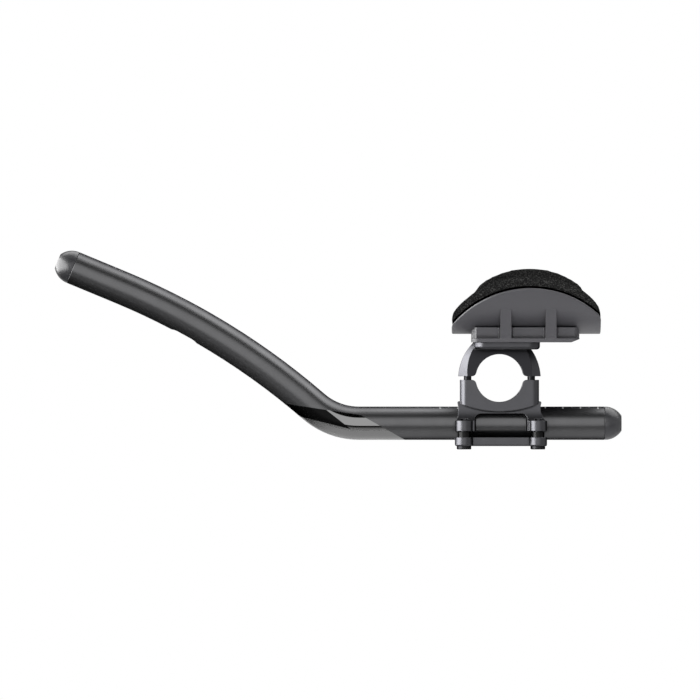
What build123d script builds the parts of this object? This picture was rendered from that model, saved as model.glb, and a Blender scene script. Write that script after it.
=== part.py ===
from build123d import *
import os

# Aero handlebar extension: an S-bent tube hung under a handlebar clamp, with an armrest cup and pad
# on the clamp's platform. Millimetres. The origin is on the handlebar's axis, in the middle of the
# clamp. +X points to the rider, +Y along the handlebar, +Z up.

# Extension tube
tube_diameter = 22.2
tube_wall = 2.0
rear_reach = 70.0  # rear end of the tube, behind the handlebar's axis
bend_reach = 93.75  # start of the bend, ahead of the handlebar's axis
bend_radius = 46.0
bend_angle = 40.9
sweep_radius = 472.0  # long reverse curve after the bend
sweep_angle = 18.4
grip_length = 34.3  # straight run at the front
port_length = 19.0  # cable port in the underside
port_width = 8.0
port_setback = 87.0  # middle of the port, behind the tube's front end

# End plugs
plug_head = 11.4
plug_face_diameter = 10.0
plug_seam = 0.4  # chamfer at the tube's mouth
plug_shank = 20.0
plug_wall = 1.8
plug_relief = 0.6  # between the bore and the shank, between its rings
ring_width = 2.0
ring_pitch = 6.0
ring_count = 3
plug_clearance = 0.05

# Handlebar clamp
bar_diameter = 31.8
clamp_width = 34.0  # along the handlebar
clamp_gap = 2.4  # open split between the two halves
lip_radius = 3.0  # rounding where the bore meets the split
base_shoulder = 10.4  # metal beside the bore, lower half
base_corner = 4.6  # rounding of each upright corner of the lower half
base_heel = 1.1  # metal under the bore's level at the ends of the lower half
base_belly = 6.1  # metal under the bore in the middle of the lower half
top_shoulder = 11.5  # metal beside the bore, upper half
shoulder_bulge = 2.25
crown_inset = 1.4  # top of the shoulder, beside the bore
crown = 7.9  # platform's top above the bore
facet = 6.0  # chamfer along the shoulders
top_taper = 4.0  # how far each side of the upper half leans in

# Armrest platform
platform_front = 17.0
platform_rear = 26.9
platform_width = 44.0
platform_thickness = 4.8
platform_corner = 8.0
platform_edge = 2.2
slot_depth = 5.0  # slots in the rear edge, over the handlebar clamp's bolts

# Saddle over the tube, with its ears and the cap under the tube
bar_to_tube = 3.1  # metal between the two bores
grip_clearance = 0.05
saddle_lap = 0.4  # saddle's top over the bore's lowest level
saddle_inset = 2.8  # each side of the saddle's top, in from the block's side
saddle_hollow = 1.0  # depth of the hollow down the saddle's sides
shoulder_step = 2.0  # saddle beyond the block's ends
shoulder_edge = 1.0
waist_inset = 0.9  # hollow down the saddle's ends
window_length = 32.8
window_rise = 5.7  # top of the side windows above the tube's axis
window_corner = 3.0
window_flare = 9.0  # slope of the windows' walls, degrees
ear_spacing = 49.2  # along the tube
ear_offset = 1.0  # middle of the ears behind the handlebar's axis
ear_inset = 4.9  # bolt's axis from the tube's surface
ear_diameter = 12.0
ear_skirt = 5.1  # ears' lower face under the tube's axis
ear_height = 6.8
ear_land = 1.7  # saddle's side outside the bolts' axes
ear_lap = 0.9  # saddle's ends, in from the ears' ends
ear_hole_rise = 1.4  # how far the tapped holes run out above the ears
cap_gap = 4.3  # between the ears and the cap
cap_floor = 4.1  # under the tube
cap_end = 4.0  # beyond the bolts, along the tube
cap_half_width = 14.0
cap_edge = 1.0
collar_diameter = 8.5  # collars on the cap that stop it short of the ears
collar_gap = 0.6

# Bolts
bolt_diameter = 5.0
head_diameter = 8.5
head_height = 5.0
socket_width = 4.0  # across the flats
socket_depth = 2.6
head_edge = 0.5
head_clearance = 0.4
hole_clearance = 0.25
thread_clearance = 0.05
thread_runout = 1.0  # tapped hole beyond the bolt's end
bar_bolt_length = 20.0
bar_bolt_inset = 5.3  # bolt's axis from the handlebar's surface
bar_bolt_spacing = 12.0  # along the handlebar
bar_bolt_seat = 5.0  # metal under the head
ear_bolt_length = 16.0
armrest_bolt_length = 10.0
low_head_diameter = 9.5
low_head_height = 2.2
low_socket_width = 3.0
low_socket_depth = 1.4
washer_diameter = 10.0
washer_thickness = 1.0

# Armrest cup
cup_setback = 20.4  # middle of the rim, behind the handlebar's axis
cup_front = 52.1  # from that middle to the front end
cup_rear = 46.9
trough_radius = 55.0  # underside of the trough
cup_wall = 3.0
base_height = 5.6  # from the platform to the underside of the trough
rim_height = 30.4  # near rim above the underside of the trough
rim_radius = 68.0
rim_corner = 6.0
tab_rise = 5.0  # far rim above the near rim
tab_width = 54.0
tab_radius = 52.0
tab_corner = 5.0
rim_edge = 0.9
foot_setback = 17.2  # middle of the foot, behind the handlebar's axis
foot_length = 71.8
foot_width = 66.0
foot_thickness = 2.7
foot_corner = 5.0
foot_rear_rise = 2.2  # sloped rear edge under the foot
foot_rear_run = 5.5
heel_width = 40.0  # middle of the foot, which is as high as the block
block_length = 68.0
block_width = 54.0
block_height = 10.0
block_corner = 1.3
rib_width = 7.3
rib_draft = 1.1  # each side of a rib, from its edge to the block
rib_spacing = 30.0
rib_setback = 19.05
rib_height = 22.2  # where the ribs run out on the trough
hole_pitch = 12.0
hole_count = 5
front_hole = 7.0  # foremost armrest bolt, ahead of the handlebar's axis
cup_seat = 4.0  # plastic under the washers
core_width = 13.0  # cored pockets in the underside
core_depth = 4.6
core_wall = 3.0
core_middle = 16.0  # from the middle line to the pockets' middle

# Pad and the strips that hold it
strip_film = 0.06  # adhesive between the cup and the strips
strip_thickness = 1.2
strip_length = 62.0
strip_inner = 10.0
strip_outer = 26.0
pad_thickness = 10.0
pad_overhang = 8.0  # pad beyond the rim, in the side view
pad_end_overhang = 0.8
pad_corner = 10.0
pad_tab_rise = 4.9
pad_tab_width = 64.0
pad_tab_radius = 55.0
pad_tab_corner = 6.0
pad_edge = 3.0

tube_radius = tube_diameter / 2
bore_radius = tube_radius - tube_wall
bar_radius = bar_diameter / 2
bolt_radius = bolt_diameter / 2
tapped_radius = bolt_radius + thread_clearance
clear_radius = bolt_radius + hole_clearance
pocket_radius = head_diameter / 2 + head_clearance
split = clamp_gap / 2
tube_z = -(bar_radius + bar_to_tube + tube_radius)
platform_top = bar_radius + crown
ear_y = tube_radius + ear_inset
ear_bottom = tube_z - ear_skirt
ear_top = ear_bottom + ear_height
cap_top = ear_bottom - cap_gap
cap_bottom = tube_z - tube_radius - cap_floor
bar_bolt_x = bar_radius + bar_bolt_inset
bar_bolt_y = bar_bolt_spacing / 2
bar_bolt_z = split + bar_bolt_seat
trough_bottom = platform_top + base_height
trough_z = trough_bottom + trough_radius
trough_inside = trough_radius - cup_wall
strip_back = trough_inside - strip_film
pad_back = strip_back - strip_thickness
pad_face = pad_back - pad_thickness
rim_top = trough_bottom + rim_height
cup_middle = cup_setback + (cup_rear - cup_front) / 2
hole_row_middle = -front_hole + hole_pitch * (hole_count - 1) / 2
armrest_bolt_x = (-front_hole, -front_hole + 2 * hole_pitch)
cup_seat_z = platform_top + cup_seat
everything = 200.0  # longer than the armrest or the clamp in any direction


def cap_screw(length, across, height, socket, depth):
    """Screw on +Z: the seat of its head at the origin, the shank below, a hexagon socket in the head."""
    with BuildPart() as screw:
        with BuildSketch():
            Circle(across / 2)
        extrude(amount=height)
        fillet(screw.edges().group_by(Axis.Z)[-1], head_edge)
        with BuildSketch():
            Circle(bolt_radius)
        extrude(amount=-length)
        chamfer(screw.edges().group_by(Axis.Z)[0], head_edge)
        with BuildSketch(Plane.XY.offset(height)):
            RegularPolygon(socket / 2, 6, major_radius=False)
        extrude(amount=-depth, mode=Mode.SUBTRACT)
    return screw.part


def end_plug(mouth, outward):
    """Moulded plug turned about the tube's axis: a domed head, and a cored shank with gripping rings."""
    shank_radius = bore_radius - plug_relief
    core_radius = shank_radius - plug_wall
    with BuildPart() as plug:
        with BuildSketch(Plane(origin=mouth, x_dir=outward, z_dir=(0, -1, 0))):
            with BuildLine():
                TangentArc((plug_seam, tube_radius), (plug_head, plug_face_diameter / 2), tangent=(1, 0))
                Polyline(
                    (plug_head, plug_face_diameter / 2),
                    (plug_head, 0),
                    (0, 0),
                    (0, core_radius),
                    (-plug_shank, core_radius),
                    (-plug_shank, shank_radius),
                    (0, shank_radius),
                    (0, tube_radius - plug_seam),
                    (plug_seam, tube_radius),
                )
            make_face()
            with Locations((-plug_shank / 2, shank_radius)):
                with GridLocations(ring_pitch, 1, ring_count, 1):
                    Rectangle(ring_width, plug_relief - plug_clearance, align=(Align.CENTER, Align.MIN))
        revolve(axis=Axis(mouth, outward))
    return plug.part


# Tube: a straight run under the clamp, a bend upwards, a long reverse curve and a straight grip
with BuildLine(Plane.XZ) as tube_axis:
    rear_run = Line((rear_reach, tube_z), (-bend_reach, tube_z))
    bend = JernArc(rear_run @ 1, rear_run % 1, bend_radius, -bend_angle)
    long_curve = JernArc(bend @ 1, bend % 1, sweep_radius, sweep_angle)
    grip = Line(long_curve @ 1, long_curve @ 1 + (long_curve % 1) * grip_length)
tube_path = tube_axis.wire()
port_distance = tube_path.length - port_setback
port_spot = tube_path.position_at(port_distance, PositionMode.LENGTH)
port_along = tube_path.tangent_at(port_distance, PositionMode.LENGTH)
port_down = Vector(-port_along.Z, 0, port_along.X)

with BuildPart() as extension_tube:
    with BuildSketch(Plane(origin=rear_run @ 0, z_dir=rear_run % 0)):
        Circle(tube_radius)
        Circle(bore_radius, mode=Mode.SUBTRACT)
    sweep(path=tube_path)
    with BuildSketch(Plane(origin=port_spot, x_dir=port_along, z_dir=port_down)):
        SlotOverall(port_length, port_width)
    extrude(amount=tube_diameter, mode=Mode.SUBTRACT)

with BuildPart() as front_end_plug:
    add(end_plug(grip @ 1, grip % 1))

with BuildPart() as rear_end_plug:
    add(end_plug(rear_run @ 0, (rear_run % 0) * -1))

# Saddle over the tube: a hollow-sided body that spreads from the handlebar's block to the ears
base_half = bar_radius + base_shoulder
shoulder_half = base_half + shoulder_step
waist_half = shoulder_half - waist_inset
saddle_reach = (ear_spacing + ear_diameter) / 2 - ear_lap
saddle_front = ear_offset - saddle_reach
saddle_rear = ear_offset + saddle_reach
saddle_top = saddle_lap - bar_radius
waist_z = (saddle_top + ear_top) / 2
saddle_top_side = clamp_width / 2 - saddle_inset
saddle_side = ear_y + ear_land
waist_side = (saddle_top_side + saddle_side) / 2 - saddle_hollow
with BuildPart() as windows:
    with BuildSketch(Plane.XZ.offset((tube_radius**2 - window_rise**2) ** 0.5)):
        with Locations((ear_offset, tube_z + window_rise)):
            RectangleRounded(
                window_length,
                2 * (window_rise + ear_skirt),
                window_corner,
                align=(Align.CENTER, Align.MAX),
            )
    extrude(amount=saddle_side, taper=-window_flare)
    mirror(about=Plane.XZ)
with BuildPart() as saddle:
    with BuildSketch(Plane.XZ):
        with BuildLine():
            Polyline(
                (saddle_rear, ear_top),
                (saddle_rear, ear_bottom),
                (saddle_front, ear_bottom),
                (saddle_front, ear_top),
            )
            ThreePointArc((saddle_front, ear_top), (-waist_half, waist_z), (-shoulder_half, saddle_top))
            Line((-shoulder_half, saddle_top), (shoulder_half, saddle_top))
            ThreePointArc((shoulder_half, saddle_top), (waist_half, waist_z), (saddle_rear, ear_top))
        make_face()
    extrude(amount=saddle_side, both=True)
    fillet(saddle.edges().filter_by(Axis.Y).group_by(Axis.Z)[-1], shoulder_edge)
    with BuildSketch(Plane.YZ):
        with BuildLine():
            Polyline(
                (-saddle_side, ear_top),
                (-saddle_side, ear_bottom),
                (saddle_side, ear_bottom),
                (saddle_side, ear_top),
            )
            ThreePointArc((saddle_side, ear_top), (waist_side, waist_z), (saddle_top_side, saddle_top))
            Line((saddle_top_side, saddle_top), (-saddle_top_side, saddle_top))
            ThreePointArc((-saddle_top_side, saddle_top), (-waist_side, waist_z), (-saddle_side, ear_top))
        make_face()
    extrude(amount=everything, both=True, mode=Mode.INTERSECT)
    add(windows.part, mode=Mode.SUBTRACT)

# Lower clamp half: the block under the handlebar, with the saddle over the tube and the ears
with BuildPart() as bar_clamp_base:
    with BuildSketch(Plane.XZ):
        with BuildLine():
            Polyline(
                (base_half, -(bar_radius + base_heel)),
                (base_half, -split),
                (-base_half, -split),
                (-base_half, -(bar_radius + base_heel)),
            )
            ThreePointArc(
                (-base_half, -(bar_radius + base_heel)),
                (0, -(bar_radius + base_belly)),
                (base_half, -(bar_radius + base_heel)),
            )
        make_face()
    extrude(amount=clamp_width / 2, both=True)
    fillet(bar_clamp_base.edges().filter_by(Axis.Z), base_corner)
    add(saddle.part)
    with BuildSketch(Plane.XZ):
        Circle(bar_radius)
    extrude(amount=clamp_width, both=True, mode=Mode.SUBTRACT)
    split_edges = bar_clamp_base.edges().filter_by(Axis.Y).group_by(Axis.Z)[-1]
    fillet(split_edges.sort_by(lambda edge: abs(edge.center().X))[:2], lip_radius)
    with BuildSketch(Plane.XY.offset(ear_bottom)):
        with Locations((ear_offset, 0)):
            with GridLocations(ear_spacing, 2 * ear_y, 2, 2):
                Circle(ear_diameter / 2)
    extrude(amount=ear_height)
    with BuildSketch(Plane.YZ):
        with Locations((0, tube_z)):
            Circle(tube_radius + grip_clearance)
    extrude(amount=everything, both=True, mode=Mode.SUBTRACT)
    with BuildSketch(Plane.XY.offset(ear_bottom)):
        with Locations((ear_offset, 0)):
            with GridLocations(ear_spacing, 2 * ear_y, 2, 2):
                Circle(tapped_radius)
    extrude(amount=ear_height + ear_hole_rise, mode=Mode.SUBTRACT)
    with BuildSketch(Plane.XY.offset(-split)):
        with GridLocations(2 * bar_bolt_x, 2 * bar_bolt_y, 2, 2):
            Circle(tapped_radius)
    extrude(
        amount=-(bar_bolt_length - bar_bolt_seat - clamp_gap + thread_runout),
        mode=Mode.SUBTRACT,
    )

# Upper clamp half: shoulders over the handlebar, and the platform that carries the armrest
with BuildPart() as platform:
    with BuildSketch(Plane.XY.offset(platform_top)):
        with Locations(((platform_rear - platform_front) / 2, 0)):
            RectangleRounded(platform_front + platform_rear, platform_width, platform_corner)
    extrude(amount=-platform_thickness)
    fillet(platform.edges().group_by(Axis.Z)[0], platform_edge)

top_half = bar_radius + top_shoulder
crown_half = bar_radius + crown_inset
with BuildPart() as bar_clamp_top:
    with BuildSketch(Plane.XZ):
        with BuildLine():
            Line((-top_half, split), (top_half, split))
            SagittaArc((top_half, split), (crown_half, platform_top), -shoulder_bulge)
            Line((crown_half, platform_top), (-crown_half, platform_top))
            SagittaArc((-crown_half, platform_top), (-top_half, split), -shoulder_bulge)
        make_face()
    extrude(amount=clamp_width / 2, both=True)
    chamfer(bar_clamp_top.edges().filter_by(GeomType.CIRCLE), facet)
    with BuildSketch(Plane.XZ):
        Circle(bar_radius)
    extrude(amount=clamp_width, both=True, mode=Mode.SUBTRACT)
    split_edges = bar_clamp_top.edges().filter_by(Axis.Y).group_by(Axis.Z)[0]
    fillet(split_edges.sort_by(lambda edge: abs(edge.center().X))[:2], lip_radius)
    with BuildSketch(Plane.YZ):
        Polygon(
            (clamp_width / 2, split),
            (clamp_width / 2 - top_taper, platform_top),
            (top_taper - clamp_width / 2, platform_top),
            (-clamp_width / 2, split),
            align=None,
        )
    extrude(amount=everything, both=True, mode=Mode.INTERSECT)
    add(platform.part)
    with BuildSketch(Plane.XY.offset(bar_bolt_z)):
        with GridLocations(2 * bar_bolt_x, 2 * bar_bolt_y, 2, 2):
            Circle(pocket_radius)
    extrude(amount=platform_top, mode=Mode.SUBTRACT)
    with BuildSketch(Plane.XY.offset(platform_top)):
        with Locations((platform_rear, 0)):
            with GridLocations(1, 2 * bar_bolt_y, 1, 2):
                Rectangle(2 * slot_depth, 2 * (pocket_radius + head_clearance))
    extrude(amount=-platform_thickness, mode=Mode.SUBTRACT)
    with BuildSketch():
        with GridLocations(2 * bar_bolt_x, 2 * bar_bolt_y, 2, 2):
            Circle(clear_radius)
    extrude(amount=platform_top, mode=Mode.SUBTRACT)
    with BuildSketch(Plane.XY.offset(platform_top)):
        with Locations(*[(x, 0) for x in armrest_bolt_x]):
            Circle(tapped_radius)
    extrude(
        amount=-(armrest_bolt_length - washer_thickness - cup_seat + thread_runout),
        mode=Mode.SUBTRACT,
    )

# Cap under the tube, with a boss and a collar for each bolt
with BuildPart() as extension_clamp_cap:
    with BuildSketch(Plane.XY.offset(cap_bottom)):
        with Locations((ear_offset, 0)):
            Rectangle(ear_spacing + 2 * cap_end, 2 * cap_half_width)
            with GridLocations(ear_spacing, 2 * ear_y, 2, 2):
                Circle(ear_diameter / 2)
    extrude(amount=cap_top - cap_bottom)
    fillet(extension_clamp_cap.edges().group_by(Axis.Z)[0], cap_edge)
    with BuildSketch(Plane.XY.offset(cap_top)):
        with Locations((ear_offset, 0)):
            with GridLocations(ear_spacing, 2 * ear_y, 2, 2):
                Circle(collar_diameter / 2)
    extrude(amount=cap_gap - collar_gap)
    with BuildSketch(Plane.YZ):
        with Locations((0, tube_z)):
            Circle(tube_radius + grip_clearance)
    extrude(amount=everything, both=True, mode=Mode.SUBTRACT)
    with BuildSketch(Plane.XY.offset(cap_bottom)):
        with Locations((ear_offset, 0)):
            with GridLocations(ear_spacing, 2 * ear_y, 2, 2):
                Circle(clear_radius)
    extrude(amount=ear_bottom - cap_bottom, mode=Mode.SUBTRACT)

# Bolts and washers
bar_screw = cap_screw(bar_bolt_length, head_diameter, head_height, socket_width, socket_depth)
with BuildPart() as bar_clamp_bolts:
    with Locations((0, 0, bar_bolt_z)):
        with GridLocations(2 * bar_bolt_x, 2 * bar_bolt_y, 2, 2):
            add(bar_screw)

ear_screw = cap_screw(
    ear_bolt_length,
    low_head_diameter,
    low_head_height,
    low_socket_width,
    low_socket_depth,
)
with BuildPart() as extension_clamp_bolts:
    with Locations(Location((ear_offset, 0, cap_bottom), (180, 0, 0))):
        with GridLocations(ear_spacing, 2 * ear_y, 2, 2):
            add(ear_screw)

low_screw = cap_screw(
    armrest_bolt_length,
    low_head_diameter,
    low_head_height,
    low_socket_width,
    low_socket_depth,
)
with BuildPart() as armrest_bolts:
    with Locations(*[(x, 0, cup_seat_z + washer_thickness) for x in armrest_bolt_x]):
        add(low_screw)

with BuildPart() as armrest_washers:
    with BuildSketch(Plane.XY.offset(cup_seat_z)):
        with Locations(*[(x, 0) for x in armrest_bolt_x]):
            Circle(washer_diameter / 2)
            Circle(clear_radius, mode=Mode.SUBTRACT)
    extrude(amount=washer_thickness)


def arch(front, rear, top, radius, corner):
    """Side view of a trough's wall: upright ends under an arched top, with rounded corners."""
    with BuildSketch(Plane.XZ) as side:
        with Locations((cup_setback, top - radius)):
            Circle(radius)
        with Locations((cup_setback - front, platform_top)):
            Rectangle(front + rear, everything, align=(Align.MIN, Align.MIN), mode=Mode.INTERSECT)
        fillet(side.vertices().sort_by(Axis.Y)[2:], corner)
    return side.sketch


def trough(outer, inner, rim, tab):
    """Wall between two radii about the forearm's line, trimmed by the rim and by the far side's tab."""
    with BuildPart() as kept:
        extrude(rim, amount=everything, both=True)
        extrude(tab, amount=everything, dir=(0, 1, 0))
    with BuildPart() as wall:
        with BuildSketch(Plane.YZ):
            with Locations((0, trough_z)):
                Circle(outer)
                Circle(inner, mode=Mode.SUBTRACT)
        extrude(amount=everything, both=True)
        add(kept.part, mode=Mode.INTERSECT)
    return wall.part


# Moulded cup: a ribbed foot under a trough with an arched rim, and a row of bolt holes
block_half = block_width / 2
foot_half = foot_width / 2
rib_edge = rib_width / 2
rib_root = rib_edge + rib_draft
rib_top = platform_top + rib_height
rib_reach = (trough_radius**2 - (trough_z - rib_top) ** 2) ** 0.5
rib_planes = [Plane.YZ.offset(rib_setback + side * rib_spacing / 2) for side in (-1, 1)]
with BuildPart() as cup_foot:
    with BuildSketch(Plane.XY.offset(platform_top)):
        with Locations((foot_setback, 0)):
            RectangleRounded(foot_length, foot_width, foot_corner)
    extrude(amount=foot_thickness)
    with BuildSketch(Plane.XY.offset(platform_top)):
        with Locations((foot_setback, 0)):
            RectangleRounded(foot_length, heel_width, foot_corner)
    extrude(amount=block_height)
    with BuildSketch(Plane.XY.offset(platform_top)) as block:
        with Locations((foot_setback, 0)):
            Rectangle(block_length, block_width)
        chamfer(block.vertices(), block_corner)
    extrude(amount=block_height)
    with BuildSketch(Plane.XY.offset(platform_top)):
        with Locations((rib_setback, 0)):
            with GridLocations(rib_spacing, 1, 2, 1):
                Polygon(
                    (rib_edge, foot_half),
                    (rib_root, block_half),
                    (rib_root, -block_half),
                    (rib_edge, -foot_half),
                    (-rib_edge, -foot_half),
                    (-rib_root, -block_half),
                    (-rib_root, block_half),
                    (-rib_edge, foot_half),
                    align=None,
                )
    extrude(amount=block_height)
    with BuildSketch(*rib_planes):
        Polygon(
            (foot_half, platform_top),
            (foot_half, platform_top + foot_thickness),
            (rib_reach, rib_top),
            (-rib_reach, rib_top),
            (-foot_half, platform_top + foot_thickness),
            (-foot_half, platform_top),
            align=None,
        )
    extrude(amount=rib_edge, both=True)
    with BuildSketch(Plane.XZ):
        with Locations((foot_setback + foot_length / 2, platform_top)):
            Polygon((0, 0), (0, foot_rear_rise), (-foot_rear_run, 0), align=None)
    extrude(amount=foot_width, both=True, mode=Mode.SUBTRACT)
    with BuildSketch(Plane.YZ):
        with Locations((0, trough_z)):
            Circle(trough_radius - cup_wall / 2)
    extrude(amount=everything, both=True, mode=Mode.SUBTRACT)

cup_rim = arch(cup_front, cup_rear, rim_top, rim_radius, rim_corner)
cup_tab = arch(tab_width / 2, tab_width / 2, rim_top + tab_rise, tab_radius, tab_corner)
with BuildPart() as armrest_cup:
    add(trough(trough_radius, trough_inside, cup_rim, cup_tab))
    rim_edges = armrest_cup.edges().filter_by(lambda edge: edge.length > 2 * cup_wall)
    fillet(rim_edges, rim_edge)
    add(cup_foot.part)
    with BuildSketch(Plane.XY.offset(platform_top)):
        with Locations((hole_row_middle, 0)):
            with GridLocations(hole_pitch, 1, hole_count, 1):
                Circle(clear_radius)
    extrude(amount=trough_radius, mode=Mode.SUBTRACT)
    with BuildSketch(Plane.XY.offset(cup_seat_z)):
        with Locations((hole_row_middle, 0)):
            with GridLocations(hole_pitch, 1, hole_count, 1):
                Circle(washer_diameter / 2 + head_clearance)
    extrude(amount=trough_radius, mode=Mode.SUBTRACT)
    with BuildSketch(Plane.XY.offset(platform_top)):
        with Locations((rib_setback, 0)):
            with GridLocations(1, 2 * core_middle, 1, 2):
                RectangleRounded(rib_spacing - rib_width - core_wall, core_width, core_wall / 2)
            with GridLocations(2 * rib_spacing - core_wall, 2 * core_middle, 2, 2):
                RectangleRounded(rib_spacing / 2 - core_wall, core_width, core_wall / 2)
    extrude(amount=core_depth, mode=Mode.SUBTRACT)

# Strips on the cup's floor, either side of the bolts, and the pad that they hold
with BuildPart() as hook_strips:
    with BuildSketch(Plane.YZ):
        with Locations((0, trough_z)):
            Circle(strip_back)
            Circle(pad_back, mode=Mode.SUBTRACT)
    extrude(amount=everything, both=True)
    with BuildSketch(Plane.XY.offset(platform_top)):
        with Locations((cup_middle, 0)):
            with GridLocations(1, strip_inner + strip_outer, 1, 2):
                Rectangle(strip_length, strip_outer - strip_inner)
    extrude(amount=trough_radius, mode=Mode.INTERSECT)

pad_top = rim_top + pad_overhang
pad_rim = arch(
    cup_front + pad_end_overhang,
    cup_rear + pad_end_overhang,
    pad_top,
    rim_radius + pad_overhang,
    pad_corner,
)
pad_tab = arch(pad_tab_width / 2, pad_tab_width / 2, pad_top + pad_tab_rise, pad_tab_radius, pad_tab_corner)
with BuildPart() as armrest_pad:
    add(trough(pad_back, pad_face, pad_rim, pad_tab))
    face_edges = armrest_pad.edges().filter_by(lambda edge: edge.length > pad_thickness)
    fillet(face_edges, pad_edge)

os.makedirs("parts", exist_ok=True)
pieces = {
    "extension_tube": extension_tube,
    "front_end_plug": front_end_plug,
    "rear_end_plug": rear_end_plug,
    "bar_clamp_base": bar_clamp_base,
    "bar_clamp_top": bar_clamp_top,
    "extension_clamp_cap": extension_clamp_cap,
    "bar_clamp_bolts": bar_clamp_bolts,
    "extension_clamp_bolts": extension_clamp_bolts,
    "armrest_cup": armrest_cup,
    "armrest_bolts": armrest_bolts,
    "armrest_washers": armrest_washers,
    "hook_strips": hook_strips,
    "armrest_pad": armrest_pad,
}
for name, piece in pieces.items():
    piece.part.label = name
    export_step(piece.part, f"parts/{name}.step")
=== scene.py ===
import bpy
import numpy as np
from bpy.props import FloatProperty, FloatVectorProperty, IntProperty, PointerProperty
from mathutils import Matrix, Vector


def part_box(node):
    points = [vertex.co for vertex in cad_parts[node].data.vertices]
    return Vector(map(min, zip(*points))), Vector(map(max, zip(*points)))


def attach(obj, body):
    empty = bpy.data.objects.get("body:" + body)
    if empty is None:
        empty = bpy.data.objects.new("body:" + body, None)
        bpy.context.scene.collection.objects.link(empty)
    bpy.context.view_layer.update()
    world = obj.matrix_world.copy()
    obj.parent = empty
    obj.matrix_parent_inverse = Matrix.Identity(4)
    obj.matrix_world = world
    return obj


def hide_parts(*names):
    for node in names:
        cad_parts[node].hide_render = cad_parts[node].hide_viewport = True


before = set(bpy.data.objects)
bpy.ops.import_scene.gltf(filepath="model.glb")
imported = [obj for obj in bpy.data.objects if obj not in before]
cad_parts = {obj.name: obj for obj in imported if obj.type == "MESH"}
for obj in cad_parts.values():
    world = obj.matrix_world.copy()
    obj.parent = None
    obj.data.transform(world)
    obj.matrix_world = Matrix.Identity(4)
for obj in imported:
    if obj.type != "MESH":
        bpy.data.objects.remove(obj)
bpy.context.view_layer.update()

bl_info = {
    "name": "Aero handlebar extension",
    "version": (1, 0, 0),
    "blender": (4, 5, 0),
    "location": "3D View > Sidebar > Aero extension",
    "description": "Finishes of the tube, clamp and armrest of an aero handlebar extension, with its studio",
    "category": "Object",
}

PAD_LOW, PAD_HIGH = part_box("armrest_pad")
TUBE_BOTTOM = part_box("extension_tube")[0].z
EAR_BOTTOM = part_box("bar_clamp_base")[0].z

WHITE = (1.0, 1.0, 1.0, 1.0)
BLACK = (0.0, 0.0, 0.0, 1.0)
# What dark metal reflects near its outline, where bare metal would turn bright.
DARK_EDGE = (0.1, 0.1, 0.1, 1.0)
# The gloss band mirrors more than plain lacquer does, the plugs and the cup less than plain plastic.
LACQUER_IOR = 2.2
PLUG_IOR = 1.36
CUP_SPECULAR = 0.25

# The gloss band in the side view, in metres. It lies ahead of a slanting line, x + slope * rise, which turns
# upright above the tube's top, and under a nearly level one, z + slope * x.
TUBE_RADIUS = 0.0111
BAND_REAR_SLOPE, BAND_REAR, BAND_UPRIGHT = 1.77, -0.0825, 0.0113
BAND_TOP_SLOPE, BAND_TOP = 0.15, -0.0384
# The black field on the band lies ahead of x + slope * z and over z + slope * x.
FIELD_REAR_SLOPE, FIELD_REAR = 1.27, -0.1422
FIELD_FOOT_SLOPE, FIELD_FOOT = 0.247, -0.0586
BAND_EDGE = 0.0002
# The scale: heights over the tube's axis, the widths of soft edges, and the short marks' share of the tone.
LONG_MARK_FOOT, SHORT_MARK_FOOT, MARK_FOOT_EDGE = 0.0096, 0.0104, 0.0002
STRAIGHT_TOP, STRAIGHT_EDGE = 0.0125, 0.0005
MARK_EDGE, RUN_EDGE = 1e-4, 1e-5
SHORT_MARK_TONE = 0.7

# Flanks of the clamp's upper half, which get a painted shade: half width at the handlebar's axis, and from
# which height up to which.
FLANK_HALF, FLANK_FOOT, FLANK_TOP = 0.0171, 0.001, 0.0189
FLANK_EDGE, STEP_EDGE = 5e-5, 1e-4

# Dark cards round the part, in metres: half their length along the tube, the height above the floor of those
# that lie low, and how much higher the light table lies.
CARD_HALF = 1.4
CARD_LIFT = 0.01
TABLE_LIFT = 0.002
# Height that most of the lamps face, about the middle of the clamp and the tube.
LAMP_AIM_Z = -0.03


def tint(name, description, default):
    """A colour that a user may change; grey levels are linear."""
    return FloatVectorProperty(
        name=name, description=description, subtype="COLOR", size=4, min=0.0, max=1.0, default=default
    )


def length(name, description, default):
    """A size in metres."""
    return FloatProperty(
        name=name, description=description, subtype="DISTANCE", unit="LENGTH", precision=5, default=default
    )


def share(name, description, default, most=1.0):
    """A number without a unit, from nothing up to a stated most."""
    return FloatProperty(
        name=name, description=description, subtype="FACTOR", min=0.0, max=most, default=default
    )


def brightness(name, description, default):
    """Radiance of a lamp or a glowing sheet, where 1 is white."""
    return share(name, description, default, 50.0)


class TubeLook(bpy.types.PropertyGroup):
    """Finish of the extension tube."""

    paint: tint("Paint", "Colour of the satin black tube", (0.08, 0.08, 0.082, 1.0))
    sheen: share("Roughness", "Roughness of the satin paint", 0.34)
    lacquer: tint("Lacquer", "Colour under the gloss band round the bend", (0.005, 0.005, 0.005, 1.0))
    gloss: share("Lacquer roughness", "Roughness of the gloss band", 0.04)
    mark: tint("Graduation", "Colour of the etched marks along the top", (0.34, 0.34, 0.34, 1.0))
    mark_start: length("First mark", "Foremost mark, ahead of the handlebar's axis", -0.0396)
    mark_pitch: length("Mark spacing", "From one long mark to the next", 0.0117)
    mark_width: length("Mark width", "Width of a mark along the tube", 0.0007)
    mark_count: IntProperty(name="Marks", description="Number of long marks", default=10, min=1)


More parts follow.
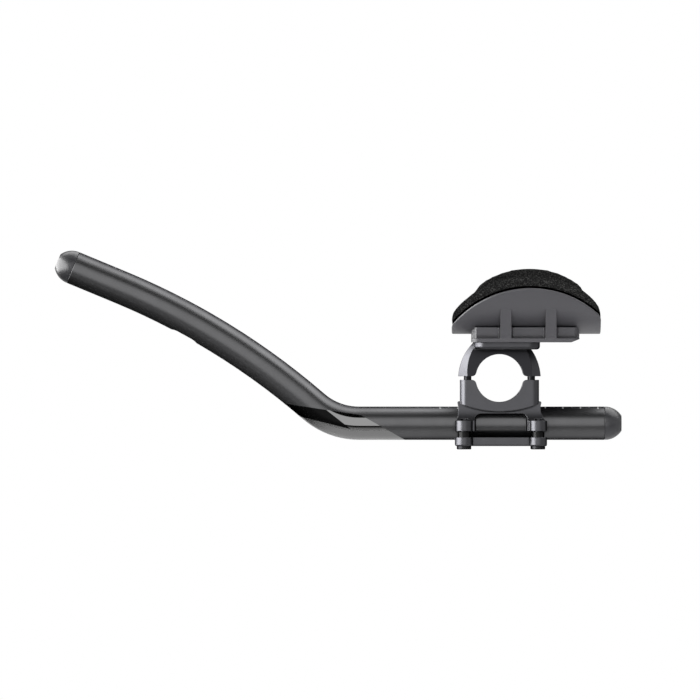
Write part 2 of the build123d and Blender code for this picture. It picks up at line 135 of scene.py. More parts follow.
class MouldedLook(bpy.types.PropertyGroup):
    """Finishes of the moulded plastic pieces."""

    cup: tint("Cup", "Colour of the armrest cup", (0.07, 0.0688, 0.0758, 1.0))
    cup_rough: share("Cup roughness", "Roughness of the cup's grain", 0.43)
    plug: tint("Plugs", "Colour of the end plugs", (0.036, 0.036, 0.0395, 1.0))
    plug_rough: share("Plug roughness", "Roughness of the end plugs", 0.32)
    strip: tint("Hook strips", "Colour of the strips under the pad", (0.03, 0.03, 0.03, 1.0))
    hook_pitch: length("Hook spacing", "From one hook of the strips to the next", 0.0012)
    grain: length("Grain", "Size of the moulded grain", 0.0006)


class MetalLook(bpy.types.PropertyGroup):
    """Finishes of the clamp and the bolts."""

    clamp: tint("Clamp", "Colour of the blasted and anodised clamp", (0.054, 0.054, 0.058, 1.0))
    # Painted shade: the upper half's leaning sides are the same metal as the rest, painted darker for the
    # shade that falls on them under the platform.
    painted_flank_shade: tint("Flanks", "Colour of the upper half's leaning sides", (0.018, 0.018, 0.02, 1.0))
    flank_lean: share("Lean", "Slope of the upper half's sides", 0.177)
    clamp_rough: share("Clamp roughness", "Roughness of the clamp", 0.35)
    collar: tint("Collars", "Colour of the collars round the bolts under the ears", (0.01, 0.01, 0.01, 1.0))
    collar_height: length("Collar height", "From the ears down to the cap", 0.0042)
    worn: tint("Worn edges", "Colour of the rubbed edges", (0.09, 0.09, 0.092, 1.0))
    bolt: tint("Bolts", "Colour of the black oxide on the bolts", (0.016, 0.016, 0.017, 1.0))
    bolt_rough: share("Bolt roughness", "Roughness of the bolts", 0.34)
    edge: length("Edge radius", "Rounding of the machined edges", 0.0005)


class PadLook(bpy.types.PropertyGroup):
    """Shape and cover of the armrest pad."""

    axis_z: length("Trough axis", "Height of the line that the pad is rolled about", 0.0844)
    middle: length("Middle", "Highest place of the rims, behind the handlebar's axis", 0.0204)
    near_top: length("Near edge", "Highest place of the near edge", 0.069)
    near_radius: length("Near edge radius", "Radius of the near edge in the side view", 0.076)
    far_top: length("Far edge", "Highest place of the raised far edge", 0.0742)
    far_radius: length("Far edge radius", "Radius of the raised far edge in the side view", 0.06)
    far_half: length("Far edge half length", "Where the raised part of the far edge has run out", 0.038)
    corner: share("Corner", "Exponent of the outline's rounded corners", 7.0, 20.0)
    thickness: length("Thickness", "Foam and cover before the cover swells", 0.0092)
    rim_top: length("Cup rim", "Highest place of the cup's near rim", 0.0598)
    rim_radius: length("Cup rim radius", "Radius of the cup's near rim in the side view", 0.068)
    # Painted shade: how far past the cup's rim the pad's back is painted black, for the shade in the crevice
    # between rim and pad.
    painted_rim_shade: length("Backing", "How far the black loop layer on the back shows past that rim", 0.0013)
    dark: tint("Dark fibre", "Colour of the cover's dark fibres", (0.012, 0.012, 0.012, 1.0))
    light: tint("Light fibre", "Colour of the cover's light fibres", (0.082, 0.082, 0.08, 1.0))
    swell: length("Swell", "Furthest that the cover may swell", 0.0012)
    voxel: length("Mesh size", "Spacing of the even mesh that is blown up", 0.0022)


class StudioLook(bpy.types.PropertyGroup):
    """Camera, lamps and floor."""

    lens: FloatProperty(
        name="Lens",
        description="Focal length in millimetres",
        subtype="DISTANCE_CAMERA",
        unit="CAMERA",
        min=1.0,
        default=925.7,
    )
    distance: length("Camera distance", "From the camera to the handlebar's plane", 12.0)
    view_x: length("View middle X", "Middle of the picture along the tube", -0.0996)
    view_z: length("View middle Z", "Middle of the picture in height", 0.0187)
    overhead: brightness("Overhead lamp", "Brightness of the overhead softbox", 3.7)
    front: brightness("Front lamp", "Brightness of the front softbox", 1.13)
    fill: brightness("Fill lamp", "Brightness of the low lamp in front that lights the matt pieces", 9.0)
    top: brightness("Top lamp", "Brightness of the lamp above that lights the matt pieces and the floor", 0.8)
    side: brightness("Side lamp", "Brightness of the softbox beyond the front end", 14.5)
    rear: brightness("Rear lamp", "Brightness of the softbox behind", 0.8)
    ambient: brightness("Ambient", "Even light from all round", 0.55)
    table: brightness("Light table", "Brightness of the glowing sheet under the clamp", 1.3)
    grey: tint("Grey card", "Colour of the card under the front end", (0.05, 0.05, 0.05, 1.0))
    floor: tint("Floor", "Colour of the floor", (0.9, 0.9, 0.9, 1.0))
    floor_glow: share("Floor glow", "What makes the lit floor white to the eye and in reflections", 0.34)
    floor_z: length("Floor height", "Floor under the handlebar's axis", -0.3)
    floor_radius: length("Floor radius", "Radius of the floor", 0.8)


class Wire:
    """A node's socket that takes part in Python arithmetic: each operator adds a Math node to its tree."""

    def __init__(self, tree, socket=None):
        self.tree = tree
        self.socket = socket

    def node(self, kind, settings=None, sockets=None, output=0):
        """Add a node: its settings first, then the values or links of its sockets.

        Gives one of its outputs.
        """
        made = self.tree.nodes.new(kind)
        for name, value in (settings or {}).items():
            setattr(made, name, value)
        for name, value in (sockets or {}).items():
            if isinstance(value, Wire):
                self.tree.links.new(value.socket, made.inputs[name])
            else:
                made.inputs[name].default_value = value
        return Wire(self.tree, made.outputs[output] if made.outputs else None)

    def maths(self, operation, first, second=0.0):
        return self.node("ShaderNodeMath", {"operation": operation}, {0: first, 1: second})

    def __add__(self, other):
        return self.maths("ADD", self, other)

    __radd__ = __add__

    def __sub__(self, other):
        return self.maths("SUBTRACT", self, other)

    def __rsub__(self, other):
        return self.maths("SUBTRACT", other, self)

    def __mul__(self, other):
        return self.maths("MULTIPLY", self, other)

    __rmul__ = __mul__

    def __truediv__(self, other):
        return self.maths("DIVIDE", self, other)

    def __mod__(self, other):
        return self.maths("FLOORED_MODULO", self, other)

    def __abs__(self):
        return self.maths("ABSOLUTE", self)

    def least(self, other):
        return self.maths("MINIMUM", self, other)

    def most(self, other):
        return self.maths("MAXIMUM", self, other)

    def part(self, axis):
        """One of X, Y and Z of a vector."""
        return self.node("ShaderNodeSeparateXYZ", sockets={0: self}, output=axis)

    def fade(self, start, end):
        """Smooth mask: 0 at start and 1 at end, either way round."""
        return self.node(
            "ShaderNodeMapRange",
            {"interpolation_type": "SMOOTHSTEP"},
            {"Value": self, "From Min": start, "From Max": end},
        )

    def over(self, place, edge):
        """Mask of where this value is more than the place, with a soft edge of the given width."""
        return self.fade(place, place + edge)

    def under(self, place, edge):
        """Mask of where this value is less than the place, with a soft edge of the given width."""
        return self.fade(place, place - edge)

    def between(self, low, high):
        """The value that goes from low to high as this one goes from 0 to 1."""
        return self * (high - low) + low

    def around(self, middle, reach):
        """The value that goes from middle less reach to middle plus reach as this one goes from 0 to 1."""
        return self.between(middle - reach, middle + reach)

    def mix(self, first, second):
        """Colour that goes from first to second as this mask goes from 0 to 1.

        Sockets 6 and 7 and output 2 of a Mix node are those for colours.
        """
        return self.node("ShaderNodeMix", {"data_type": "RGBA"}, {0: self, 6: first, 7: second}, 2)

    def noise(self, size, detail=2.0, stretch=(1.0, 1.0, 1.0)):
        """Cloudy noise on this place, with spots of about the given size, drawn out by stretch."""
        spread = self.node("ShaderNodeMapping", sockets={"Vector": self, "Scale": stretch})
        sockets = {"Vector": spread, "Scale": 1 / size, "Detail": detail}
        return self.node("ShaderNodeTexNoise", sockets=sockets)

    def rounded(self, radius):
        """Normal of the surface with its sharp edges rounded."""
        return self.node("ShaderNodeBevel", {"samples": 6}, {"Radius": radius})

    def relief(self, depth, normal):
        """Normal of the surface with this height on it."""
        return self.node("ShaderNodeBump", sockets={"Distance": depth, "Height": self, "Normal": normal})


def length_of(first, second):
    """Length of the hypotenuse over two wires."""
    return first.maths("SQRT", first * first + second * second)


def scaled(colour, level):
    """The colour at so many times its brightness."""
    return [level * part for part in colour[:3]] + [1.0]


def new_finish(name):
    """A material with no nodes but its Object coordinates."""
    material = bpy.data.materials.new(name)
    material.use_nodes = True
    material.node_tree.nodes.clear()
    return material, Wire(material.node_tree).node("ShaderNodeTexCoord", output="Object")


def shade(place, **sockets):
    """Put a Principled shader on the output; an underscore in a socket's name stands for a space."""
    named = {name.replace("_", " "): value for name, value in sockets.items()}
    shader = place.node("ShaderNodeBsdfPrincipled", sockets=named)
    place.node("ShaderNodeOutputMaterial", sockets={"Surface": shader})


def dress(material, *nodes):
    """Give the finish to CAD nodes, in the slots that they have."""
    for name in nodes:
        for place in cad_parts[name].material_slots:
            place.material = material


def edge_mask(place, rounded):
    """Mask of the sharp edges: how far the rounded normal leans from the true one.

    The lean is 1 less the cosine of the angle between the two. The mask starts at 8 degrees and is full at
    37 degrees.
    """
    flat = place.node("ShaderNodeNewGeometry", output="Normal")
    along = place.node("ShaderNodeVectorMath", {"operation": "DOT_PRODUCT"}, {0: flat, 1: rounded}, "Value")
    return (1.0 - along).fade(0.01, 0.2)


def coordinates(mesh):
    """Vertices of a mesh as an array, one row each."""
    flat = np.empty(3 * len(mesh.vertices))
    mesh.vertices.foreach_get("co", flat)
    return flat.reshape(-1, 3)


def closed_skin(name, rings):
    """Mesh of a closed skin from rings of points, the first and the last ring shrunk to one point each.

    Point k of ring j is joined to point k + 1 and to ring j + 1 by quads; each end point is joined to its
    nearest ring by a fan of triangles.
    """
    count, around = rings.shape[:2]
    inner = rings[1:-1].reshape(-1, 3)
    points = np.vstack([rings[:1, 0], inner, rings[-1:, 0]])
    here = 1 + np.arange((count - 2) * around).reshape(count - 2, around)
    on = np.roll(here, -1, axis=1)
    quads = np.stack([here[:-1], here[1:], on[1:], on[:-1]], axis=-1).reshape(-1, 4)
    last = len(points) - 1
    first_fan = np.stack([np.zeros(around, int), here[0], on[0]], axis=-1)
    last_fan = np.stack([np.full(around, last), on[-1], here[-1]], axis=-1)
    mesh = bpy.data.meshes.new(name)
    mesh.from_pydata(points.tolist(), [], first_fan.tolist() + quads.tolist() + last_fan.tolist())
    mesh.validate()
    return mesh


def edge_angle(look, x, top, radius):
    """Angle on the trough at which the pad's edge ends, for an edge that is an arc in the side view.

    The section of the edge is a half circle about the middle of the thickness: its highest place is half
    the thickness above that middle, and its end is half the thickness further round the trough.
    """
    half = look.thickness / 2
    middle = look.axis_z - PAD_LOW.z - half
    height = top - radius + np.sqrt(radius**2 - x**2)
    return np.arccos((look.axis_z + half - height) / middle) + half / middle


def pad_rings(look):
    """Pad as rings of points, from the middle of its face over its round edge to the middle of its back.

    Flat outline: a rounded square from -1 to 1, stretched along the tube to the pad's length and across to
    the angle at which the near or the far edge ends. The far edge's raised part runs out over the last tenth
    of its half length. Each ring is that outline shrunk towards the middle; the thickness falls off as a half
    circle over the rim. The flat pad is then rolled: a point at angle a and radius r goes to r sin a across
    and to the axis less r cos a in height.
    """
    spokes, face_rings, edge_rings, rim, run_out = 240, 24, 14, 0.1, 0.1
    turn = np.linspace(0.0, 2 * np.pi, spokes, endpoint=False)
    square = np.abs([np.cos(turn), np.sin(turn)]) ** look.corner
    along, across = np.array([np.cos(turn), np.sin(turn)]) / square.sum(axis=0) ** (1 / look.corner)
    x = along * np.where(along < 0, look.middle - PAD_LOW.x, PAD_HIGH.x - look.middle)
    near = edge_angle(look, x, look.near_top, look.near_radius)
    far = edge_angle(look, np.clip(x, -look.far_half, look.far_half), look.far_top, look.far_radius)
    raised = np.clip((look.far_half - np.abs(x)) / (run_out * look.far_half), 0, 1) * (across > 0)
    angle = across * (near + raised * np.clip(far - near, 0, None))
    lean = np.linspace(0.0, np.pi, edge_rings)
    out = np.linspace(0.0, 1 - rim, face_rings, endpoint=False)
    scale = np.concatenate([out, 1 - rim + rim * np.sin(lean), out[::-1]])[:, None]
    half = np.full(face_rings, 1.0)
    height = np.concatenate([half, np.cos(lean), -half])[:, None] * look.thickness / 2
    radius = look.axis_z - PAD_LOW.z - look.thickness / 2 - height
    rolled = angle * scale
    return np.stack(
        [
            look.middle + x * scale,
            radius * np.sin(rolled),
            look.axis_z - radius * np.cos(rolled),
        ],
        axis=-1,
    )


def even_mesh(piece, size):
    """Replace the piece's mesh by one with even faces of the given size."""
    remesh = piece.modifiers.new("even", "REMESH")
    remesh.mode = "VOXEL"
    remesh.voxel_size = size
    depsgraph = bpy.context.evaluated_depsgraph_get()
    mesh = bpy.data.meshes.new_from_object(piece.evaluated_get(depsgraph))
    piece.modifiers.remove(remesh)
    piece.data = mesh


def blow_up(piece, limit, steps=20, pressure=4.0):
    """Places of the piece's points once it has swollen as cloth under inner pressure.

    No point moves further than the limit.
    """
    start = coordinates(piece.data)
    cloth = piece.modifiers.new("swell", "CLOTH")
    cloth.settings.use_pressure = True
    cloth.settings.uniform_pressure_force = pressure
    cloth.settings.effector_weights.gravity = 0.0
    scene = bpy.context.scene
    for step in range(1, steps + 1):
        scene.frame_set(step)
    depsgraph = bpy.context.evaluated_depsgraph_get()
    moved = coordinates(piece.evaluated_get(depsgraph).data)
    piece.modifiers.remove(cloth)
    scene.frame_set(1)
    shift = moved - start
    size = np.linalg.norm(shift, axis=1, keepdims=True)
    return start + shift * np.minimum(1.0, limit / np.maximum(size, limit))


class AERO_OT_tube(bpy.types.Operator):
    """Satin black paint with an etched scale along the top and a gloss band round the bend"""

    bl_idname = "aero.tube"
    bl_label = "Tube"

    def execute(self, context):
        look = context.scene.aero_tube
        material, place = new_finish("satin_black_tube")
        x, z = (place.part(axis) for axis in "XZ")
        rise = z - (TUBE_BOTTOM + TUBE_RADIUS)
        marks = self.scale(look, x, rise)
        ahead = (x + BAND_REAR_SLOPE * rise.least(BAND_UPRIGHT)).under(BAND_REAR, BAND_EDGE)
        band = ahead * (z + BAND_TOP_SLOPE * x).under(BAND_TOP, BAND_EDGE)
        field = band * (x + FIELD_REAR_SLOPE * z).under(FIELD_REAR, BAND_EDGE)
        field = field * (z + FIELD_FOOT_SLOPE * x).over(FIELD_FOOT, BAND_EDGE)
        cloud = place.noise(size=0.012, detail=3.0)
        drawn = place.noise(size=0.0005, stretch=(0.02, 1.0, 1.0))
        peel = place.noise(size=0.0011, detail=3.0)
        satin = cloud.around(look.sheen, 0.03) + drawn.around(0.0, 0.05)
        paint = cloud.mix(look.paint, scaled(look.paint, 0.8))
        colour = marks.mix(band.mix(paint, look.lacquer), look.mark)
        height = peel * (1.0 - 0.8 * band) + marks * -0.5
        normal = height.relief(depth=0.00002, normal=place.rounded(0.0004))
        shade(
            place,
            Base_Color=colour,
            Roughness=satin,
            Normal=normal,
            Metallic=1.0,
            Specular_Tint=DARK_EDGE,
            Coat_Weight=band - field,
            Coat_IOR=LACQUER_IOR,
            Coat_Roughness=look.gloss,
        )
        dress(material, "extension_tube")
        return {"FINISHED"}

    @staticmethod
    def scale(look, x, rise):
        """Mask of the scale on the straight run: long marks at each pitch, fainter short ones half way."""
        half_width = look.mark_width / 2
        quarter = look.mark_pitch / 4
        first = look.mark_start
        last = first + look.mark_pitch * (look.mark_count - 1)
        run = x.over(first - half_width, RUN_EDGE) * x.under(last + half_width, RUN_EDGE)
        straight = rise.under(STRAIGHT_TOP, STRAIGHT_EDGE)
        along = x - first + quarter
        side = half_width + MARK_EDGE / 2
        long_marks = abs(along % look.mark_pitch - quarter).under(side, MARK_EDGE)
        short_marks = abs(along % (look.mark_pitch / 2) - quarter).under(side, MARK_EDGE)
        long_marks = long_marks * rise.over(LONG_MARK_FOOT, MARK_FOOT_EDGE)
        short_marks = short_marks * rise.over(SHORT_MARK_FOOT, MARK_FOOT_EDGE)
        return run * straight * long_marks.most(SHORT_MARK_TONE * short_marks)


class AERO_OT_plugs(bpy.types.Operator):
    """Fine-grained moulded plastic of the two end plugs"""

    bl_idname = "aero.plugs"
    bl_label = "End plugs"

    def execute(self, context):
        look = context.scene.aero_moulded
        material, place = new_finish("plug_plastic")
        cloud = place.noise(size=0.004, detail=3.0)
        grain = place.noise(look.grain)
        colour = cloud.mix(look.plug, scaled(look.plug, 0.8))
        rough = grain.around(look.plug_rough, 0.06)
        normal = grain.relief(depth=0.000012, normal=place.rounded(0.0003))
        shade(place, Base_Color=colour, Roughness=rough, Normal=normal, IOR=PLUG_IOR)
        dress(material, "front_end_plug", "rear_end_plug")
        return {"FINISHED"}


class AERO_OT_clamp(bpy.types.Operator):
    """Blasted, grey-black anodised metal with rubbed edges, on both clamp halves and the cap; the upper
    half's leaning sides get a painted shade
    """

    bl_idname = "aero.clamp"
    bl_label = "Clamp"

    def execute(self, context):
        look = context.scene.aero_metal
        material, place = new_finish("anodised_clamp")
        blast = place.noise(size=0.0004)
        cloud = place.noise(size=0.006, detail=3.0)
        rounded = place.rounded(look.edge)
        rubbed = edge_mask(place, rounded) * cloud.fade(0.35, 0.6)
        base = cloud.mix(scaled(look.clamp, 0.88), look.clamp)
        height = place.part("Z")
        # Painted shade on the upper half's leaning sides, between two heights and beyond a slanting half
        # width.
        lean = abs(place.part("Y")) + look.flank_lean * height
        upper = height.under(FLANK_TOP, STEP_EDGE) * height.over(FLANK_FOOT, STEP_EDGE)
        flank_shade_mask = lean.over(FLANK_HALF, FLANK_EDGE) * upper
        below = EAR_BOTTOM - height
        collars = below.over(STEP_EDGE, STEP_EDGE) * below.under(look.collar_height, STEP_EDGE)
        colour = collars.mix(rubbed.mix(flank_shade_mask.mix(base, look.painted_flank_shade), look.worn), look.collar)
        rough = blast.around(look.clamp_rough, 0.05) - 0.06 * rubbed
        normal = blast.relief(depth=0.00001, normal=rounded)
        shade(
            place,
            Base_Color=colour,
            Metallic=1.0,
            Roughness=rough,
            Normal=normal,
            Specular_Tint=DARK_EDGE,
        )
        dress(material, "bar_clamp_base", "bar_clamp_top", "extension_clamp_cap")
        return {"FINISHED"}


class AERO_OT_bolts(bpy.types.Operator):
    """Black oxide on the bolts and washers, thin on their edges"""

    bl_idname = "aero.bolts"
    bl_label = "Bolts"

    def execute(self, context):
        look = context.scene.aero_metal
        material, place = new_finish("black_oxide")
        stain = place.noise(size=0.0015, detail=3.0)
        turned = place.noise(size=0.0002, detail=1.0, stretch=(1.0, 1.0, 6.0))
        rounded = place.rounded(0.0003)
        thin = edge_mask(place, rounded) * stain.fade(0.3, 0.6)
        oxide = stain.mix(scaled(look.bolt, 0.7), look.bolt)
        rough = stain.around(look.bolt_rough, 0.06)
        normal = turned.relief(depth=0.000008, normal=rounded)
        shade(
            place,
            Base_Color=thin.mix(oxide, look.worn),
            Metallic=1.0,
            Roughness=rough,
            Normal=normal,
            Specular_Tint=DARK_EDGE,
        )
        dress(material, "bar_clamp_bolts", "extension_clamp_bolts", "armrest_bolts", "armrest_washers")
        return {"FINISHED"}


class AERO_OT_cup(bpy.types.Operator):
    """Moulded grain of the armrest cup"""

    bl_idname = "aero.cup"
    bl_label = "Armrest cup"

    def execute(self, context):
        look = context.scene.aero_moulded
        material, place = new_finish("cup_plastic")
        grain = place.noise(look.grain, detail=3.0)
        flow = place.noise(size=0.02, detail=3.0, stretch=(1.0, 1.0, 0.5))
        colour = flow.mix(scaled(look.cup, 0.92), look.cup)
        rough = grain.around(look.cup_rough, 0.07)
        normal = grain.relief(depth=0.00003, normal=place.rounded(0.0006))
        shade(place, Base_Color=colour, Roughness=rough, Normal=normal, Specular_IOR_Level=CUP_SPECULAR)
        dress(material, "armrest_cup")
        return {"FINISHED"}


class AERO_OT_strips(bpy.types.Operator):
    """Rows of small hooks on the strips that hold the pad"""

    bl_idname = "aero.strips"
    bl_label = "Hook strips"
    # Rows of small hooks on the strips that hold the pad, their tops given a painted highlight

    def execute(self, context):
        look = context.scene.aero_moulded
        material, place = new_finish("hook_tape")
        half = look.hook_pitch / 2
        row, column = (abs(place.part(axis) % look.hook_pitch - half) / half for axis in "XY")
        hook = row.fade(0.2, 0.8) * column.fade(0.2, 0.8)
        # Painted highlight: the raised hooks take a copy of the tape's colour three times as bright.
        colour = hook.mix(look.strip, scaled(look.strip, 3.0))
        normal = hook.relief(depth=0.0003, normal=place.rounded(0.0002))
        shade(place, Base_Color=colour, Roughness=hook.between(0.8, 0.55), Normal=normal)
        dress(material, "hook_strips")
        return {"FINISHED"}


class AERO_OT_pad(bpy.types.Operator):
    """Foam pad with a heathered cover, swollen as cloth over the strips"""

    bl_idname = "aero.pad"
    bl_label = "Armrest pad"

    def execute(self, context):
        look = context.scene.aero_pad
        piece = bpy.data.objects.new("pad_cover", closed_skin("pad_cover", pad_rings(look)))
        context.scene.collection.objects.link(piece)
        even_mesh(piece, look.voxel)
        if len(piece.data.vertices) == 0:
            raise RuntimeError("the pad's even mesh is empty")
        points = self.rest_on_strips(look, blow_up(piece, look.swell))
        piece.data.vertices.foreach_set("co", points.ravel())
        piece.data.shade_smooth()
        smooth = piece.modifiers.new("smooth", "SUBSURF")
        smooth.levels = smooth.render_levels = 1
        piece.data.materials.clear()
        piece.data.materials.append(self.cover(look))
        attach(piece, "clamp")
        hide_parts("armrest_pad")
        return {"FINISHED"}

    @staticmethod
    def rest_on_strips(look, points):
        """Put points beyond the strips' face back on it.

        Their distance from the trough's axis is kept to that of the face.
        """
        back = look.axis_z - PAD_LOW.z
        across = points[:, 1]
        down = look.axis_z - points[:, 2]
        shrink = np.minimum(1.0, back / np.hypot(across, down))
        return np.stack([points[:, 0], across * shrink, look.axis_z - down * shrink], axis=-1)

    @staticmethod
    def cover(look):
        """Heathered knit: dark yarn with short light fibres lying all ways, and a painted shade where its
        back shows just past the cup's rim.
        """
        material, place = new_finish("heathered_cover")
        fleck = place.noise(size=0.0007, detail=3.0, stretch=(0.6, 1.0, 1.0))
        cross = place.noise(size=0.0006, stretch=(1.0, 0.65, 0.65))
        wear = place.noise(size=0.02, detail=3.0)
        fibres = fleck.fade(0.5, 0.7).most(0.7 * cross.fade(0.52, 0.72))
        heather = (fibres * wear.between(0.6, 1.2)).mix(look.dark, look.light)
        x, y, z = (place.part(axis) for axis in "XYZ")
        # Painted shade: the pad's back turns black up to a narrow band past the cup's rim, where the crevice
        # lies in shade.
        layer = look.axis_z - PAD_LOW.z - length_of(y, z - look.axis_z)
        past_rim = length_of(x - look.middle, z - (look.rim_top - look.rim_radius)) - look.rim_radius
        back = layer.fade(0.5 * look.thickness, 0.4 * look.thickness)
        painted_rim_shade = back * past_rim.fade(1.2 * look.painted_rim_shade, look.painted_rim_shade)
        normal = (fleck + 0.6 * cross).relief(depth=0.00015, normal=place.rounded(0.0005))
        shade(
            place,
            Base_Color=painted_rim_shade.mix(heather, BLACK),
            Roughness=0.95,
            Normal=normal,
            Specular_IOR_Level=0.0,
        )
        return material


def softbox(name, aim, stand, width, height, radiance, seen):
    """Area lamp that stands off from what it faces; its power is its radiance times pi times its area.

    It is seen as gloss, in reflections only, or as matt, by the light on matt surfaces only.
    """
    lamp = bpy.data.lights.new(name, "AREA")
    lamp.shape = "RECTANGLE"
    lamp.size = width
    lamp.size_y = height
    lamp.energy = radiance * np.pi * width * height
    box = bpy.data.objects.new(name, lamp)
    box.location = aim + Vector(stand)
    box.rotation_euler = (-Vector(stand)).to_track_quat("-Z", "Y").to_euler()
    box.visible_camera = False
    box.visible_glossy = seen == "gloss"
    box.visible_diffuse = seen == "matt"
    bpy.context.scene.collection.objects.link(box)


def card(name, tone, corner, along, edge, fades=(), glow=0.0):
    """Sheet that the camera doesn't see, from a corner so far along the tube and along its other edge.

    A matt one shows in reflections only; a glowing one lights matt surfaces too. Each of its fades is an axis
    and the places on it where the sheet has thinned out and where it is whole.
    """
    corner, along, edge = Vector(corner), Vector((along, 0.0, 0.0)), Vector(edge)
    mesh = bpy.data.meshes.new(name)
    mesh.from_pydata([corner, corner + along, corner + along + edge, corner + edge], [], [(0, 1, 2, 3)])
    sheet = bpy.data.objects.new(name, mesh)
    bpy.context.scene.collection.objects.link(sheet)
    material, place = new_finish(name)
    solid = 1.0
    for axis, thin, whole in fades:
        solid = solid * place.part(axis).fade(thin, whole)
    shade(
        place,
        Base_Color=tone,
        Roughness=1.0,
        Specular_IOR_Level=0.0,
        Alpha=solid,
        Emission_Color=WHITE,
        Emission_Strength=glow,
    )
    mesh.materials.append(material)
    sheet.visible_camera = False
    sheet.visible_diffuse = glow > 0.0
    sheet.visible_transmission = False
    sheet.visible_shadow = False


def seen_rays(start):
    """Mask of the rays by which a background is seen: by the eye, in reflections and through glass."""
    eye, gloss, glass = (
        start.node("ShaderNodeLightPath", output=name)
        for name in ("Is Camera Ray", "Is Glossy Ray", "Is Transmission Ray")
    )
    return eye.most(gloss).most(glass)


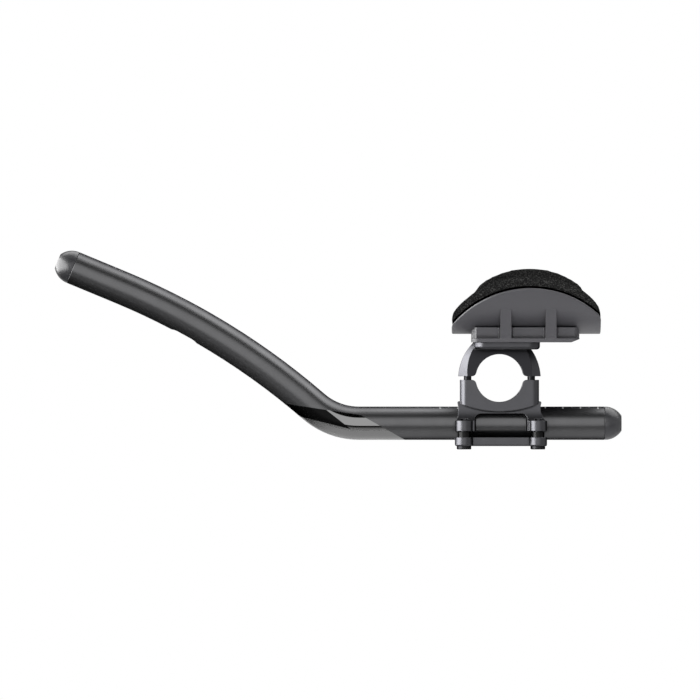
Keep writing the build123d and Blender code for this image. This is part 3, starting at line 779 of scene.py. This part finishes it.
class AERO_OT_stage(bpy.types.Operator):
    """Camera, pale floor, soft lamps and white surroundings"""

    bl_idname = "aero.stage"
    bl_label = "Studio"

    def execute(self, context):
        look = context.scene.aero_studio
        scene = context.scene
        scene.view_settings.view_transform = "Standard"
        self.camera(scene, look)
        self.surroundings(scene, look)
        self.floor(scene, look)
        self.lamps(look)
        self.cards(look)
        return {"FINISHED"}

    @staticmethod
    def camera(scene, look):
        """Long lens square to the tube's side."""
        view = bpy.data.cameras.new("camera")
        view.lens = look.lens
        camera = bpy.data.objects.new("camera", view)
        camera.location = (look.view_x, -look.distance, look.view_z)
        camera.rotation_euler = (np.pi / 2, 0.0, 0.0)
        scene.collection.objects.link(camera)
        scene.camera = camera

    @staticmethod
    def surroundings(scene, look):
        """White to the eye, in reflections and through glass; dimmer even light for all else."""
        world = bpy.data.worlds.new("studio")
        world.use_nodes = True
        world.node_tree.nodes.clear()
        start = Wire(world.node_tree)
        even = start.node("ShaderNodeBackground", sockets={"Color": WHITE, "Strength": look.ambient})
        white = start.node("ShaderNodeBackground", sockets={"Color": WHITE, "Strength": 1.0})
        both = start.node("ShaderNodeMixShader", sockets={0: seen_rays(start), 1: even, 2: white})
        start.node("ShaderNodeOutputWorld", sockets={"Surface": both})
        scene.world = world

    @staticmethod
    def floor(scene, look):
        """Round pale floor that glows where it is seen and is clear from below.

        It fades out from half its radius on.
        """
        turn = np.linspace(0.0, 2 * np.pi, 96, endpoint=False)
        points = np.stack([np.cos(turn), np.sin(turn), np.zeros_like(turn)], axis=-1) * look.floor_radius
        points += (look.view_x, 0.0, look.floor_z)
        mesh = bpy.data.meshes.new("floor")
        mesh.from_pydata(points.tolist(), [], [list(range(len(points)))])
        floor = bpy.data.objects.new("floor", mesh)
        scene.collection.objects.link(floor)
        material, place = new_finish("floor")
        centre = points.mean(axis=0)
        middle = place.node("ShaderNodeVectorMath", {"operation": "SUBTRACT"}, {0: place, 1: centre})
        away = place.node("ShaderNodeVectorMath", {"operation": "LENGTH"}, {0: middle}, "Value")
        paint = place.node("ShaderNodeBsdfDiffuse", sockets={"Color": look.floor})
        white = place.node("ShaderNodeEmission", sockets={"Color": WHITE, "Strength": look.floor_glow})
        glowing = place.node("ShaderNodeAddShader", sockets={0: paint, 1: white})
        lit = place.node("ShaderNodeMixShader", sockets={0: seen_rays(place), 1: paint, 2: glowing})
        clear = place.node("ShaderNodeBsdfTransparent")
        below = place.node("ShaderNodeNewGeometry", output="Backfacing")
        rim = away.fade(0.5 * look.floor_radius, look.floor_radius).most(below)
        both = place.node("ShaderNodeMixShader", sockets={0: rim, 1: lit, 2: clear})
        place.node("ShaderNodeOutputMaterial", sockets={"Surface": both})
        mesh.materials.append(material)

    @staticmethod
    def lamps(look):
        """Softboxes for the metal, and two lamps for the matt pieces.

        Each has what it faces, how far off it stands from that, its width and height, its radiance, and how
        it is seen.
        """
        middle = Vector((look.view_x, 0.0, LAMP_AIM_Z))
        armrest = Vector(((PAD_LOW.x + PAD_HIGH.x) / 2, 0.0, PAD_LOW.z))
        front_end = middle + Vector((-0.3, -0.4, 0.4))
        softbox("overhead_lamp", middle, (0.25, 0.4, 0.97), 2.4, 1.09, look.overhead, "gloss")
        softbox("front_lamp", middle, (0.0, -1.58, 0.236), 1.5, 1.74, look.front, "gloss")
        softbox("fill_lamp", armrest, (0.0, -0.85, -0.26), 0.7, 0.2, look.fill, "matt")
        softbox("top_lamp", middle, (0.0, 0.0, 1.0), 1.6, 1.0, look.top, "matt")
        softbox("side_lamp", front_end, (-1.0, 0.0, 0.0), 2.6, 1.4, look.side, "gloss")
        softbox("rear_lamp", middle, (0.0, 0.85, 0.0), 1.6, 1.0, look.rear, "gloss")

    @staticmethod
    def cards(look):
        """Dark cards between the softboxes, a grey one under the front end, a light table under the clamp.

        Each has its tone, a corner, how far it goes along the tube, its other edge and its fades.
        """
        left, long = -CARD_HALF, 2 * CARD_HALF
        low = look.floor_z + CARD_LIFT
        card("back_card", BLACK, (left, 0.9, -1.0), long, (0.0, 0.0, 2.0))
        card("high_card", BLACK, (left, -1.02, 0.8), long, (0.0, 0.49, 0.39))
        card("low_card", BLACK, (left, -0.82, low), long, (0.0, 0.62, 0.0), [("Y", -0.2, -0.6)])
        card("grey_card", look.grey, (left, -0.345, low), 1.3, (0.0, 0.7, 0.0), [("X", -0.1, -0.45)])
        soft = [("X", -0.35, -0.1), ("X", 0.4, 0.2), ("Y", -0.24, -0.12), ("Y", 0.36, 0.16)]
        corner = (-0.35, -0.24, low + TABLE_LIFT)
        card("light_table", BLACK, corner, 0.75, (0.0, 0.6, 0.0), soft, look.table)


class AERO_PT_parts(bpy.types.Panel):
    """The extension's pieces, with the sizes and colours of each"""

    bl_idname = "AERO_PT_parts"
    bl_label = "Aero extension"
    bl_space_type = "VIEW_3D"
    bl_region_type = "UI"
    bl_category = "Aero extension"

    def draw(self, context):
        for operator in OPERATORS:
            self.layout.operator(operator.bl_idname)
        for name in LOOKS:
            group = getattr(context.scene, name)
            box = self.layout.box()
            for key in group.__annotations__:
                box.prop(group, key)


LOOKS = {
    "aero_tube": TubeLook,
    "aero_moulded": MouldedLook,
    "aero_metal": MetalLook,
    "aero_pad": PadLook,
    "aero_studio": StudioLook,
}
OPERATORS = (
    AERO_OT_stage,
    AERO_OT_tube,
    AERO_OT_plugs,
    AERO_OT_clamp,
    AERO_OT_bolts,
    AERO_OT_cup,
    AERO_OT_strips,
    AERO_OT_pad,
)


def register():
    for group in LOOKS.values():
        bpy.utils.register_class(group)
    for name, group in LOOKS.items():
        setattr(bpy.types.Scene, name, PointerProperty(type=group))
    for kind in (*OPERATORS, AERO_PT_parts):
        bpy.utils.register_class(kind)


def unregister():
    for kind in (AERO_PT_parts, *OPERATORS):
        bpy.utils.unregister_class(kind)
    for name, group in LOOKS.items():
        delattr(bpy.types.Scene, name)
        bpy.utils.unregister_class(group)


def main():
    """Register the add-on and make each piece in turn."""
    register()
    bpy.ops.aero.stage()
    bpy.ops.aero.tube()
    bpy.ops.aero.plugs()
    bpy.ops.aero.clamp()
    bpy.ops.aero.bolts()
    bpy.ops.aero.cup()
    bpy.ops.aero.strips()
    bpy.ops.aero.pad()


if __name__ == "__main__":
    main()
